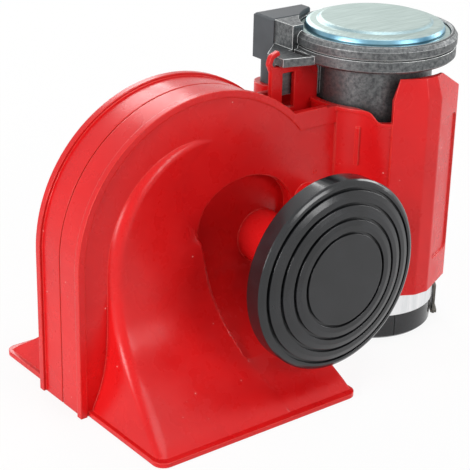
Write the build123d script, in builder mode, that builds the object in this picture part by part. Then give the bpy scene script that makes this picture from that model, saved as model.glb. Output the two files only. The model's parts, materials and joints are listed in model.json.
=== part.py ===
# Compact electropneumatic snail horn: a folded plastic horn with a vane pump and its motor beside it.
# Millimetres, +Z up. The mouth faces down in the plane z = 0, the diaphragm driver faces -Y,
# the motor stands on the +X side, and x = 0, y = 0 is the middle of the whole unit.
from build123d import *
from math import cos, exp, radians, sin, sqrt
import os

# ---- driving dimensions -------------------------------------------------------------------------
# Coil of the horn
coil_r = 45.3  # outer radius of the rims round the coil
coil_z = 44.7  # height of the coil's centre
rim_w = 2.1  # width of each rim
rim_lift = 0.9  # how far the rims stand out from the band between them
rim_proud = 0.5  # how far the rims stand out from the side walls
coil_front = 6.2  # front wall, forward of the middle plane
coil_back = 15.6  # back wall, behind the middle plane
seam_y = 4.7  # plane where the two shells meet
seam_w = 0.5  # width of the groove along the seam
shell_t = 2.0  # wall of both shells
shoulder_z = 78.0  # level top edge to the right of the coil
shoulder_lap = 2.9  # how far that edge runs into the motor's holder
tray_drop = 3.6  # how far the shoulder lies below the band, between its two rims
waist_x = 33.0  # lower right corner of the coil's outline
waist_z = 16.0

# Mouth
mouth_left = 42.5  # from the coil's centre
mouth_right = 29.3
mouth_half = 42.3  # half depth, front and back
lip_t = 1.4  # thickness of the rim round the mouth
lip_w = 1.0  # how far the lip stands out from the flare
lip_corner = 3.5
flare_front_h = 14.9  # height in which the front flare dies away
flare_back_h = 13.0
flare_side_h = 10.0
flare_power = 1.4
flare_left = 35.5  # straight part of the flare's left side
flare_right = 26.5

# Raised front of the last turn
turn_lift = 2.7  # how far it stands out from the coil's front wall
turn_round = 3.8  # rounding of its outer corner
turn_slope = 3.0  # width of the slope down to the crease
turn_end = 70.0  # direction in which it ends, degrees round the coil
turn_inner = 2.0  # its inner edge, from the coil's axis, where the flare begins
turn_inner_end = 16.0
turn_outer_end = 33.0
turn_sink = 2.6  # how soon its inner edge sinks into the wall
turn_floor = -4.0  # its rear face, inside the coil's solid body
crease_run = 10.0  # how far the crease wanders to the right down to the mouth

# Motor and its holder
motor_dx = 69.9  # from the coil's centre
motor_y = 0.3
can_r = 22.0
can_t = 1.6
can_z0 = 8.2
can_z1 = 70.0
holder_gap = 0.3
holder_t = 1.5
holder_z0 = 16.5
holder_z1 = 77.5  # top edge on the left
holder_step = 4.0  # drop of the top edge towards the column
holder_clear = 12.0  # height cleared above the dropped edge
bead_h = 1.3  # bead along the holder's top edge
bead_t = 0.5
rib_at = -146.0  # short upright rib below the bead, degrees round the motor
rib_w = 1.3
rib_t = 0.7
rib_z0 = 60.0
rib_z1 = 72.0

# Column in front of the motor
column_top = 87.0
column_t = 3.1  # how far it stands out from the holder's bore
column_slope = 6.5  # height of the sloped edge round its top
column_taper = 17.0
column_round = 2.2  # more than the slope leans in
panel_depth = 0.5
panel_round = 2.0
panel_z0 = 26.5
panel_z1 = 72.5
panel_w = 13.4
panel_left = -85.5  # corners of the column on either side of the panel, degrees round the motor
panel_right = -49
panel_swell = 0.9  # how much further the left one stands out
column_back = -43  # its right end, degrees round the motor
column_front = -97  # corner between its two front facets
column_start = -121.3  # its left end
column_edge = 0.8  # how far its left end stands out from the holder
column_cut_z = 80.5  # where the slanted cut at its upper right comes out
column_cut_w = 11.3

# Diaphragm driver
driver_dx = 21.7  # from the coil's centre
driver_z = 40.0
cap_r = 29.0
cap_wall = 1.5
cap_bevel = 0.5
cap_back = 33.5  # rear edge of the cap, forward of the middle plane
cap_depth = 8.8  # from the rear edge to the flat centre of the face
cap_side = 5.4  # from the rear edge to where the stepped face starts
cap_face_r = 13.8
cap_rings = 4
ring_pitch = 4.05
ring_crown = 0.2  # how far each ring's face is rounded up
groove_w = 0.9
groove_d = 1.0
cap_shell = 2.0
throat_r = 5.0
neck_r = 8.3
nozzle_r = 6.6
base_t = 2.0
base_rim_w = 3.0
base_rim_h = 0.8
membrane_t = 0.3
seal_t = 0.7

# Scroll wall inside the coil, corners from the foot of the coil's axis
scroll_t = 1.8
scroll_turn = 12.0  # radius of its turns
scroll_corners = [(26.5, 4.0), (-5.5, 20.0), (-5.5, 61.0), (35.5, 61.0), (35.5, 28.5), (11.0, 28.5)]

# Pump
pump_off_x = -1.6  # pump housing's axis from the motor's axis
pump_off_y = 1.2
body_r = 18.5
flange_r = 25.4
flange_z0 = 89.3
crimp_z0 = 93.5
crimp_z1 = 97.4
crimp_in_r = 23.5
crimp_out = 0.2  # how far the rolled rim stands out from the flange
rotor_r = 12.4
rotor_z0 = 74.3
rotor_h = 14.0
vane_n = 4
vane_t = 1.6
rotor_gap = 0.3
rotor_off = 1.9  # rotor's axis from the chamber's axis
rotor_wall = 2.4  # between the shaft and the foot of a vane's slot
foot_r = 21.0
foot_h = 2.0
port_plate_t = 1.5
port_plate_r = 17.5
filter_r = 20.5
filter_h = 4.0
shelf_z = 95.0
lid_r = 23.3
lid_t = 1.0
lid_dome_r = 21.7
lid_round = 1.6
lid_shoulder_z = 99.1
lid_top_r = 17.2
lid_z1 = 100.2
gasket_t = 0.6
gasket_w = 1.8
arm_left = 26.3  # cast arm that carries the outlet, to the left of the pump's axis
arm_right = 11.3
arm_front = 9.3
arm_z0 = 88.0
arm_z1 = 99.3
web_front = 5.2  # web from the flange down to the holder
web_t = 7.6
web_gap = 0.6  # between the web and the clip tab
lug_left = 33.2  # ear on the flange above the clip tab, from the coil's centre
lug_front = 2.8
lug_t = 2.6
lug_slot_w = 2.4
lug_slot_front = 1.4
tongue_w = 7.5  # tongue below the ear, behind the clip tab
tongue_t = 2.0
tongue_h = 10.2

# Armature
shaft_r = 2.5
run_gap = 0.03  # radial clearance of the shaft in its bearings
core_r = 16.8
core_z0 = 28.0
core_h = 26.0
core_slots = 7
slot_w = 3.4
slot_share = 0.5  # radial length of a slot, of the core's radius
slot_at = 0.72  # its middle, of the core's radius
slot_mouth_w = 1.6
slot_mouth_d = 3.0
comm_r = 7.0
comm_z0 = 12.6
comm_h = 7.0
comm_slot_w = 0.5
comm_slot_d = 1.2
bearing_r = 6.5
bearing_h = 4.0
bearing_wall = 1.8
bearing_low_z = 2.6
bearing_high_z = 64.2
magnet_t = 3.0
magnet_z0 = 26.0
magnet_h = 34.0
magnet_span = 130.0
winding_h = 6.0
winding_r = 15.4
winding_gap = 0.2

# End cap, brushes and terminals
end_r = 21.6
end_t = 2.0
end_wall = 3.2
register_h = 2.5
brush_plate_t = 1.5
brush_w = 4.6
brush_h = 5.0
brush_len = 5.6
guide_wall = 1.2
spring_r = 1.9
cap_screw_at = 14.6
cap_screw_r = 1.5
cap_screw_head_r = 2.7
cap_screw_head_h = 1.5
cap_screw_cross = 3.4  # cross recess
cap_screw_slot = 0.7
cap_screw_deep = 0.9
terminal_w = 6.3
terminal_t = 0.8
terminal_z0 = 0.8
terminal_z1 = 11.0
terminal_angles = (-38, 62)

# Air outlet
elbow_w = 19.4
elbow_d = 10.0
elbow_z0 = 85.4
elbow_z1 = 99.5
elbow_left = 26.7  # to the left of the pump's axis
elbow_front = 18.0
outlet_left = 23.0  # port between pump and elbow, and the spigot below it, left of the pump's axis
outlet_z = 91.0
outlet_bore = 1.5
pipe_dx = 36.5  # pipe across the coil to the driver, from the coil's centre
pipe_z = 50.0
pipe_r = 4.8
pipe_bore = 2.4
spigot_r = 3.4
spigot_z0 = 70.5
duct_y = 23.0
socket_r = 5.4
socket_z0 = 68.0
socket_z1 = 78.0

# Clip tab and lug
tab_left = 30.5
tab_inset = 0.4  # its right edge, from the end of the shoulder
tab_t = 1.6
tab_round = 3.0
tab_top = 89.0
hook_w = 1.3  # hook at the tab's top left, and its run from the tab's corner
hook_run = [(0.7, -1.5), (-0.6, 1.2), (0.2, 3.4), (2.8, 4.3)]
window_left = 34.7
window_w = 4.8
window_z0 = 75.5
window_z1 = 86.8
seat_gap = 0.3  # gap between a loose piece and what it rests on

# M8 fixing
bolt_r = 4.0
bolt_to_motor = 43.9  # from the motor's axis, so that the nut stays clear of the holder
bolt_dx = motor_dx - bolt_to_motor
bolt_z = 65.0
boss_r = 9.0
boss_len = 8.4
stud_free = 8.0  # plain length of the stud beyond its nut
stud_point = 0.8
neck_w = 0.6  # thread relief between the nut and the free end
neck_d = 0.5
washer_r = 8.4
washer_t = 1.6
nut_flats = 13.0
nut_t = 6.5
outlet_seal_r = 2.9
outlet_seal_w = 1.0
fit_gap = 0.05  # radial clearance of pieces pressed or slid into a seat

# ---- derived places -------------------------------------------------------------------------------
column_r = can_r + holder_gap + column_t
holder_in = can_r + holder_gap
holder_out = holder_in + holder_t
horn_x = -(motor_dx + holder_out + bead_t - coil_r) / 2
motor_x = horn_x + motor_dx
pump_x = motor_x + pump_off_x
pump_y = motor_y + pump_off_y
driver_x = horn_x + driver_dx
holder_low = holder_z1 - holder_step
shoulder_x = motor_dx - holder_out + shoulder_lap
tray_z = shoulder_z - rim_lift - tray_drop
tab_right = shoulder_x - tab_inset
pump_dx = motor_dx + pump_off_x
outlet_dx = pump_dx - outlet_left
band_r = coil_r - rim_lift
flare_top = coil_z
cap_face = cap_back + cap_depth
cap_edge = cap_back + cap_side
pipe_x = horn_x + pipe_dx
outlet_x = horn_x + outlet_dx
bolt_x = horn_x + bolt_dx

os.makedirs("parts", exist_ok=True)


def wall_plane(y):
    """Upright plane facing the front, with its own x and y along X and Z from the coil's axis foot."""
    return Plane(origin=(horn_x, y, 0), x_dir=(1, 0, 0), z_dir=(0, -1, 0))


def driver_plane(y):
    """Upright plane facing the front, centred on the driver's axis."""
    return Plane(origin=(driver_x, y, driver_z), x_dir=(1, 0, 0), z_dir=(0, -1, 0))


def motor_level(z):
    """Level plane centred on the motor's axis."""
    return Plane(origin=(motor_x, motor_y, z))


def pump_level(z):
    """Level plane centred on the pump housing's axis."""
    return Plane(origin=(pump_x, pump_y, z))


def polar(radius, degrees):
    return (radius * cos(radians(degrees)), radius * sin(radians(degrees)))


def fade(z, height):
    """1 at the mouth, falling to 0 at the top of the flare."""
    rest = exp(-((flare_top / height) ** flare_power))
    return (exp(-((z / height) ** flare_power)) - rest) / (1 - rest)


def coil_outline(radius, drop):
    """Outline of the coil: a straight left wall, the arc over the top, the shoulder and the right side."""
    inset = coil_r - radius
    top = shoulder_z - inset - drop
    meet_x = sqrt(radius**2 - (top - coil_z) ** 2)
    middle = (radius * cos(radians(115)), coil_z + radius * sin(radians(115)))
    with BuildSketch() as sketch:
        with BuildLine():
            Line((-radius, 0), (-radius, coil_z))
            ThreePointArc((-radius, coil_z), middle, (meet_x, top))
            Line((meet_x, top), (shoulder_x - inset, top))
            Line((shoulder_x - inset, top), (shoulder_x - inset, coil_z))
            Line((shoulder_x - inset, coil_z), (waist_x - inset, waist_z))
            Line((waist_x - inset, waist_z), (flare_right - inset, 0))
            Line((flare_right - inset, 0), (-radius, 0))
        make_face()
    return sketch.sketch


def flare_reach(z, wall_y, height):
    """How far the flare stands out from the middle plane at height z."""
    return wall_y + (mouth_half - lip_w - wall_y) * fade(z, height)


def left_edge(z):
    return -flare_left - (mouth_left - lip_w - flare_left) * fade(z, flare_side_h)


def flare_side(wall_y, height, inset):
    """Points of the flare's front or back, seen from the side, from the mouth up to the coil's wall."""
    return [(flare_reach(z, wall_y, height) - inset, z) for z in flare_heights]


def flare_edge(wall_x, mouth_x, inset):
    """Points of the flare's left or right side, seen from the front."""
    return [(wall_x + (mouth_x - lip_w - wall_x) * fade(z, flare_side_h) - inset, z) for z in flare_heights]


def side_profile(inset):
    """Flare seen from the side, front and back, on a plane with x along Y."""
    front = [(-y, z) for y, z in flare_side(coil_front, flare_front_h, inset)]
    back = flare_side(coil_back, flare_back_h, inset)
    with BuildSketch() as sketch:
        with BuildLine():
            Spline(*front)
            Line(front[-1], back[-1])
            Spline(*back)
            Line(back[0], front[0])
        make_face()
    return sketch.sketch


def front_profile(inset):
    """Flare and last turn seen from the front."""
    left = [(-x, z) for x, z in flare_edge(flare_left, mouth_left, inset)]
    right = flare_edge(flare_right, mouth_right, inset)
    crown = (0, coil_z + flare_left)
    with BuildSketch() as sketch:
        with BuildLine():
            Spline(*left)
            ThreePointArc(left[-1], (-flare_left * sqrt(0.5), coil_z + flare_left * sqrt(0.5)), crown)
            Line(crown, (right[-1][0], crown[1]))
            Line((right[-1][0], crown[1]), right[-1])
            Spline(*right)
            Line(right[0], left[0])
        make_face()
    return sketch.sketch


flare_heights = [0, 3, 6, 9.5, 13.5, 18, 24, 33, flare_top]
flare_sides = side_profile(0)
flare_sides_in = side_profile(shell_t)
flare_front = front_profile(0)
flare_front_in = front_profile(shell_t)
coil_body = coil_outline(band_r, tray_drop)
coil_rim = coil_outline(coil_r, 0)
coil_rim_in = coil_outline(coil_r - rim_w, tray_drop)
coil_hollow = coil_outline(band_r - shell_t, tray_drop)
seam_floor = coil_outline(band_r - seam_w, tray_drop)
across = Plane.YZ.offset(horn_x - mouth_left - 1)
mouth_w = mouth_left + mouth_right

# ---- horn housing, both shells in one before they are parted ------------------------------------------
# Air space inside the coil, kept clear of the motor's holder
with BuildPart() as coil_space:
    with BuildSketch(wall_plane(-coil_front + shell_t)):
        add(coil_hollow)
    extrude(amount=-(coil_front + coil_back - 2 * shell_t))
    with BuildSketch(motor_level(0)):
        Circle(holder_out)
    extrude(amount=holder_z1, mode=Mode.SUBTRACT)

# Air space inside the flare
with BuildPart() as flare_space:
    with BuildSketch(across):
        add(flare_sides_in)
    extrude(amount=mouth_w + 2)
    with BuildSketch(wall_plane(mouth_half + 1)):
        add(flare_front_in)
    extrude(amount=2 * mouth_half + 2, mode=Mode.INTERSECT)

def turn_section(place, outer, inner, front_outer, front_inner, rounding):
    """Section of the raised turn, on a plane with x outwards from the coil's axis and y towards the front."""
    slope_top = inner + turn_slope
    lean = (front_outer - front_inner) / (outer - slope_top)
    corner = outer - rounding
    bend = rounding * (1 - sqrt(0.5))
    with BuildSketch(place) as sketch:
        with BuildLine():
            Line((inner, turn_floor), (outer, turn_floor))
            Line((outer, turn_floor), (outer, front_outer - rounding))
            ThreePointArc(
                (outer, front_outer - rounding),
                (outer - bend, front_outer - bend),
                (corner, front_outer - lean * rounding),
            )
            Line((corner, front_outer - lean * rounding), (slope_top, front_inner))
            Line((slope_top, front_inner), (inner, front_inner - turn_lift - 0.3))
            Line((inner, front_inner - turn_lift - 0.3), (inner, turn_floor))
        make_face()
    return sketch.sketch


turn_sections = []
for z in [lip_t / 2, 3, 6, 9.5, 13.5, 18, 24, 33]:
    reach = flare_reach(z, coil_front + turn_lift, flare_front_h)
    crease = turn_inner - crease_run * (1 - z / coil_z) ** 1.3
    edge = -left_edge(z)
    level = Plane(origin=(horn_x, 0, z), x_dir=(-1, 0, 0), z_dir=(0, 0, 1))
    turn_sections.append(turn_section(level, edge, crease, reach, reach, turn_round - fade(z, 3)))
for share in (0, 0.18, 0.36, 0.54, 0.72, 0.9, 1.0):
    angle = 180 - share * (180 - turn_end)
    out = Vector(cos(radians(angle)), 0, sin(radians(angle)))
    radial = Plane(origin=(horn_x, 0, coil_z), x_dir=out, z_dir=out.cross(Vector(0, -1, 0)))
    outer = flare_left + (turn_outer_end - flare_left) * share
    inner = turn_inner + (turn_inner_end - turn_inner) * share**1.8
    front_outer = coil_front + turn_lift * cos(radians(93 * share))
    front_inner = coil_front + turn_lift * (1 - turn_sink * share)
    turn_sections.append(turn_section(radial, outer, inner, front_outer, front_inner, turn_round))

# Raised last turn: the left part of the flare's front, which fades out over the top of the coil
with BuildPart() as last_turn:
    for section in turn_sections:
        add(section)
    loft()

# Flare: its sides and back, and its front to the right of the raised turn
with BuildPart() as flare:
    with BuildSketch(across):
        add(flare_sides)
    extrude(amount=mouth_w + 2)
    with BuildSketch(wall_plane(mouth_half + 1)):
        add(flare_front)
    extrude(amount=2 * mouth_half + 2, mode=Mode.INTERSECT)
    with BuildSketch(wall_plane(0)):
        with Locations((-mouth_left, flare_top / 2)):
            Rectangle(2 * (mouth_left - flare_left + turn_round + 1), flare_top + 2)
    extrude(amount=mouth_half + 1, mode=Mode.SUBTRACT)
    add(last_turn.part)

with BuildPart() as housing:
    # Body of the coil and its two rims
    with BuildSketch(wall_plane(-coil_front)):
        add(coil_body)
    extrude(amount=-(coil_front + coil_back))
    for rim_y in (-coil_front - rim_proud, coil_back + rim_proud - rim_w):
        with BuildSketch(wall_plane(rim_y)):
            add(coil_rim)
            add(coil_rim_in, mode=Mode.SUBTRACT)
        extrude(amount=-rim_w)
    # Flare and lip
    add(flare.part)
    with BuildSketch():
        with Locations((horn_x + (mouth_right - mouth_left) / 2, 0)):
            RectangleRounded(mouth_w, 2 * mouth_half, lip_corner)
    extrude(amount=lip_t)
    # Holder round the motor, its top edge stepping down towards the column
    with BuildSketch(motor_level(holder_z0)):
        Circle(holder_out)
    extrude(amount=holder_z1 - holder_z0)
    with BuildSketch(motor_level(rib_z0)):
        with PolarLocations(holder_out, 1, start_angle=rib_at):
            Rectangle(2 * rib_t, rib_w)
    extrude(amount=rib_z1 - rib_z0)

# Step of the holder's top edge, seen from the front, and the bead below it
def step_profile(depth):
    """Region from the holder's stepped top edge, up or down by depth."""
    x0 = motor_dx - holder_out - 3
    x1 = motor_dx - 0.82 * holder_out
    x2 = motor_dx - 0.6 * holder_out
    x3 = motor_dx + holder_out + 3
    with BuildSketch() as sketch:
        with BuildLine():
            Line((x0, holder_z1), (x1, holder_z1))
            Spline((x1, holder_z1), (x2, holder_low), tangents=((1, 0), (1, 0)))
            Line((x2, holder_low), (x3, holder_low))
            Line((x3, holder_low), (x3, holder_low + depth))
            Line((x3, holder_low + depth), (x2, holder_low + depth))
            Spline((x2, holder_low + depth), (x1, holder_z1 + depth), tangents=((-1, 0), (-1, 0)))
            Line((x1, holder_z1 + depth), (x0, holder_z1 + depth))
            Line((x0, holder_z1 + depth), (x0, holder_z1))
        make_face()
    return sketch.sketch


with BuildPart() as step_cut:
    with BuildSketch(wall_plane(seam_y)):
        add(step_profile(holder_step + holder_clear))
    extrude(amount=holder_out + seam_y + 1)

with BuildPart() as top_bead:
    with BuildSketch(motor_level(holder_low - 2 * bead_h)):
        Circle(holder_out + bead_t)
    extrude(amount=holder_step + 3 * bead_h)
    with BuildSketch(wall_plane(seam_y)):
        add(step_profile(-bead_h))
    extrude(amount=holder_out + seam_y + 1, mode=Mode.INTERSECT)

# Column: faceted pillar in front of and beside the motor, with a panel sunk in one facet
column_in = holder_in - column_slope
panel_from = polar(column_r + panel_swell, panel_left)
panel_to = polar(column_r, panel_right)
panel_along = Vector(panel_to) - Vector(panel_from)
panel_middle = Vector(motor_x, motor_y, (panel_z0 + panel_z1) / 2) + (Vector(panel_from) + Vector(panel_to)) / 2
panel_plane = Plane(origin=panel_middle, x_dir=panel_along, z_dir=panel_along.cross(Vector(0, 0, 1)))
with BuildPart() as column:
    with BuildSketch(motor_level(holder_z0)):
        with BuildLine():
            Polyline(
                polar(column_in, column_start),
                polar(holder_out + column_edge, column_start),
                polar(column_r + panel_swell, column_front),
                panel_from,
                panel_to,
                polar(holder_out, column_back),
                polar(column_in, column_back),
                polar(column_in, (column_start + column_back) / 2),
                close=True,
            )
        make_face()
    extrude(amount=column_top - column_slope - holder_z0)
    upright = column.edges().filter_by(Axis.Z)
    outer = [e for e in upright if (e.center() - Vector(motor_x, motor_y, e.center().Z)).length > holder_out + 1]
    fillet(outer, radius=column_round)
    roof = column.faces().sort_by(Axis.Z)[-1]
    extrude(roof, amount=column_slope, taper=column_taper)
    # Slanted cut at its upper right
    facet_end = panel_along.length / 2
    with BuildSketch(Plane(origin=(panel_middle.X, panel_middle.Y, 0), x_dir=panel_along, z_dir=panel_plane.z_dir)):
        with BuildLine():
            Polyline(
                (facet_end - column_cut_w, column_top),
                (facet_end, column_cut_z),
                (facet_end + column_cut_w, column_cut_z),
                (facet_end + column_cut_w, column_top + 1),
                (facet_end - column_cut_w, column_top + 1),
                close=True,
            )
        make_face()
    extrude(amount=column_r, both=True, mode=Mode.SUBTRACT)

# Duct on the back of the coil: from the elbow's spigot down to the pipe that crosses the coil
duct_foot = Vector(pipe_x, duct_y, pipe_z)
duct_head = Vector(outlet_x, duct_y, socket_z0 + 1)
duct_run = Plane(origin=duct_foot, z_dir=duct_head - duct_foot)
duct_length = (duct_head - duct_foot).length
socket = Plane(origin=(outlet_x, duct_y, socket_z0))
pipe_start = Plane(origin=(pipe_x, duct_y, pipe_z), x_dir=(1, 0, 0), z_dir=(0, -1, 0))

with BuildPart() as duct:
    with BuildSketch(duct_run):
        Circle(pipe_r)
    extrude(amount=duct_length)
    with BuildSketch(socket):
        Circle(socket_r)
    extrude(amount=socket_z1 - socket_z0)
    with BuildSketch(pipe_start.offset(-pipe_r)):
        Circle(pipe_r)
    extrude(amount=duct_y + pipe_r + cap_back)
    with BuildSketch(wall_plane(duct_y)):
        with BuildLine():
            Line((pipe_dx, pipe_z), (outlet_dx, socket_z0))
        trace(line_width=pipe_r)
    extrude(amount=duct_y - coil_back + shell_t / 2)

with BuildPart() as duct_bore:
    with BuildSketch(duct_run.offset(-pipe_bore / 2)):
        Circle(pipe_bore)
    extrude(amount=duct_length + pipe_bore)
    with BuildSketch(socket.offset(spigot_z0 - seat_gap - socket_z0)):
        Circle(spigot_r + fit_gap)
    extrude(amount=socket_z1 - spigot_z0 + 1)
    with BuildSketch(pipe_start.offset(-pipe_bore / 2)):
        Circle(pipe_bore)
    extrude(amount=duct_y + pipe_bore + cap_back)

with BuildPart() as housing_whole:
    add(housing.part)
    add(step_cut.part, mode=Mode.SUBTRACT)
    add(top_bead.part)
    add(column.part)
    # Spaces inside
    add(coil_space.part, mode=Mode.SUBTRACT)
    add(flare_space.part, mode=Mode.SUBTRACT)
    # Scroll wall that folds the air path round the throat
    with BuildSketch(wall_plane(-coil_front + shell_t / 2)):
        with BuildLine():
            FilletPolyline(*scroll_corners, radius=scroll_turn)
        trace(line_width=scroll_t)
    extrude(amount=-(coil_front + coil_back - shell_t))
    # Neck that carries the driver, and the air duct
    with BuildSketch(driver_plane(-coil_front + shell_t / 2)):
        Circle(neck_r)
    extrude(amount=cap_back - coil_front + shell_t / 2)
    add(duct.part)
    add(duct_bore.part, mode=Mode.SUBTRACT)
    with BuildSketch(driver_plane(0)):
        Circle(throat_r)
    extrude(amount=cap_back, mode=Mode.SUBTRACT)
    # Fixing boss for the stud
    with BuildSketch(wall_plane(coil_back + boss_len)):
        with Locations((bolt_dx, bolt_z)):
            Circle(boss_r)
    extrude(amount=boss_len + 2 * shell_t)
    with BuildSketch(wall_plane(coil_back + boss_len)):
        with Locations((bolt_dx, bolt_z)):
            Circle(bolt_r + fit_gap)
    extrude(amount=boss_len + shell_t, mode=Mode.SUBTRACT)
    # Bore for the motor
    with BuildSketch(motor_level(holder_z0 - 1)):
        Circle(holder_in)
    extrude(amount=column_top, mode=Mode.SUBTRACT)
    # Recessed panel on the column
    with BuildSketch(panel_plane):
        RectangleRounded(panel_w, panel_z1 - panel_z0, panel_round)
    extrude(amount=-panel_depth, mode=Mode.SUBTRACT)
    # Clip tab with its window and its barb
    with BuildSketch(wall_plane(seam_y)):
        with BuildLine():
            Polyline(
                (tab_left, tray_z - shell_t / 2),
                (tab_right, tray_z - shell_t / 2),
                (tab_right, tab_top - tab_round),
                (tab_right - 0.3 * tab_round, tab_top - 0.3 * tab_round),
                (tab_right - tab_round, tab_top),
                (tab_left, tab_top),
                close=True,
            )
        make_face()
        with BuildLine():
            FilletPolyline(*[(tab_left + x, tab_top + z) for x, z in hook_run], radius=hook_w)
        trace(line_width=hook_w)
        with Locations((window_left + window_w / 2, (window_z0 + window_z1) / 2)):
            Rectangle(window_w, window_z1 - window_z0, mode=Mode.SUBTRACT)
    extrude(amount=-tab_t)
    # Groove along the seam of the band
    with BuildSketch(wall_plane(seam_y - seam_w / 2)):
        add(coil_body)
        add(seam_floor, mode=Mode.SUBTRACT)
    extrude(amount=-seam_w, mode=Mode.SUBTRACT)

with BuildPart() as horn_front_shell:
    add(housing_whole.part)
    split(bisect_by=Plane(origin=(0, seam_y, 0), z_dir=(0, -1, 0)), keep=Keep.TOP)
horn_front_shell.part.label = "horn_front_shell"
export_step(horn_front_shell.part, "parts/horn_front_shell.step")

with BuildPart() as horn_back_shell:
    add(housing_whole.part)
    split(bisect_by=Plane(origin=(0, seam_y, 0), z_dir=(0, -1, 0)), keep=Keep.BOTTOM)
horn_back_shell.part.label = "horn_back_shell"
export_step(horn_back_shell.part, "parts/horn_back_shell.step")

# ---- diaphragm driver ------------------------------------------------------------------------------
driver_profile = Plane(origin=(driver_x, 0, driver_z), x_dir=(1, 0, 0), z_dir=(0, 0, 1))
driver_axis = Axis((driver_x, 0, driver_z), (0, 1, 0))
cap_in_r = cap_r - cap_wall
base_r = cap_in_r - fit_gap
seat_y = -(cap_back + base_t + base_rim_h)
shelf_y = seat_y - membrane_t - seal_t


def dome(radius):
    """Depth of the cap's stepped face at a radius, from the flat centre down to the edge."""
    share = max(0.0, (radius - cap_face_r) / (cap_r - cap_face_r))
    return -(cap_edge + (cap_face - cap_edge) * (1 - share**1.5))


# Cap: a shallow cup whose face steps out in rings with a groove between each two
with BuildPart() as driver_cap:
    with BuildSketch(driver_profile):
        with BuildLine():
            Polyline((0, -cap_face + cap_shell), (0, -cap_face), (cap_face_r, -cap_face))
            last = (cap_face_r, -cap_face)
            for ring in range(cap_rings):
                inner = cap_face_r + ring * ring_pitch
                outer = inner + ring_pitch
                if ring == cap_rings - 1:
                    outer = cap_r - cap_bevel
                start = (inner + groove_w, dome(inner + groove_w))
                end = (outer, dome(outer))
                crest = ((start[0] + end[0]) / 2, (start[1] + end[1]) / 2 - ring_crown)
                Polyline(last, (last[0], start[1] + groove_d), (start[0], start[1] + groove_d), start, crest, end)
                last = end
            Polyline(
                last,
                (cap_r, last[1] + cap_bevel),
                (cap_r, -cap_back),
                (cap_in_r, -cap_back),
                (cap_in_r, shelf_y),
                (cap_in_r - base_rim_w, shelf_y),
                (cap_in_r - base_rim_w, dome(cap_in_r - base_rim_w) + cap_shell),
                (cap_face_r, -cap_face + cap_shell),
                (0, -cap_face + cap_shell),
            )
        make_face()
    revolve(axis=driver_axis)
driver_cap.part.label = "driver_cap"
export_step(driver_cap.part, "parts/driver_cap.step")

# Base: a dish seated on the neck, with the ring nozzle that the diaphragm rests over
with BuildPart() as driver_base:
    with BuildSketch(driver_profile):
        with BuildLine():
            Polyline(
                (throat_r, -cap_back),
                (base_r, -cap_back),
                (base_r, seat_y),
                (base_r - base_rim_w, seat_y),
                (base_r - base_rim_w, -cap_back - base_t),
                (nozzle_r, -cap_back - base_t),
                (nozzle_r, seat_y + seat_gap),
                (throat_r, seat_y + seat_gap),
                close=True,
            )
        make_face()
    revolve(axis=driver_axis)
    with BuildSketch(wall_plane(-cap_back)):
        with Locations((pipe_dx, pipe_z)):
            Circle(pipe_bore)
    extrude(amount=base_t, mode=Mode.SUBTRACT)
driver_base.part.label = "driver_base"
export_step(driver_base.part, "parts/driver_base.step")

with BuildPart() as diaphragm:
    with BuildSketch(driver_plane(seat_y)):
        Circle(base_r - fit_gap)
    extrude(amount=membrane_t)
diaphragm.part.label = "diaphragm"
export_step(diaphragm.part, "parts/diaphragm.step")

with BuildPart() as driver_seal:
    with BuildSketch(driver_plane(seat_y - membrane_t)):
        Circle(base_r - fit_gap)
        Circle(base_r - base_rim_w, mode=Mode.SUBTRACT)
    extrude(amount=seal_t)
driver_seal.part.label = "driver_seal"
export_step(driver_seal.part, "parts/driver_seal.step")

# ---- motor -----------------------------------------------------------------------------------------
can_in = can_r - can_t
motor_profile = Plane(origin=(motor_x, motor_y, 0), x_dir=(1, 0, 0), z_dir=(0, -1, 0))
motor_axis = Axis((motor_x, motor_y, 0), (0, 0, 1))
seat_r = bearing_r + fit_gap
seat_out = seat_r + bearing_wall

# Deep-drawn can with the upper bearing's seat inside its closed end
with BuildPart() as motor_can:
    with BuildSketch(motor_profile):
        with BuildLine():
            Polyline(
                (can_in, can_z0),
                (can_r, can_z0),
                (can_r, can_z1 - can_t),
                (can_r - can_t, can_z1),
                (shaft_r + seat_gap, can_z1),
                (shaft_r + seat_gap, bearing_high_z + bearing_h),
                (seat_r, bearing_high_z + bearing_h),
                (seat_r, bearing_high_z),
                (seat_out, bearing_high_z),
                (seat_out, can_z1 - can_t),
                (can_in, can_z1 - can_t),
                close=True,
            )
        make_face()
    revolve(axis=motor_axis)
motor_can.part.label = "motor_can"
export_step(motor_can.part, "parts/motor_can.step")

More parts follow.
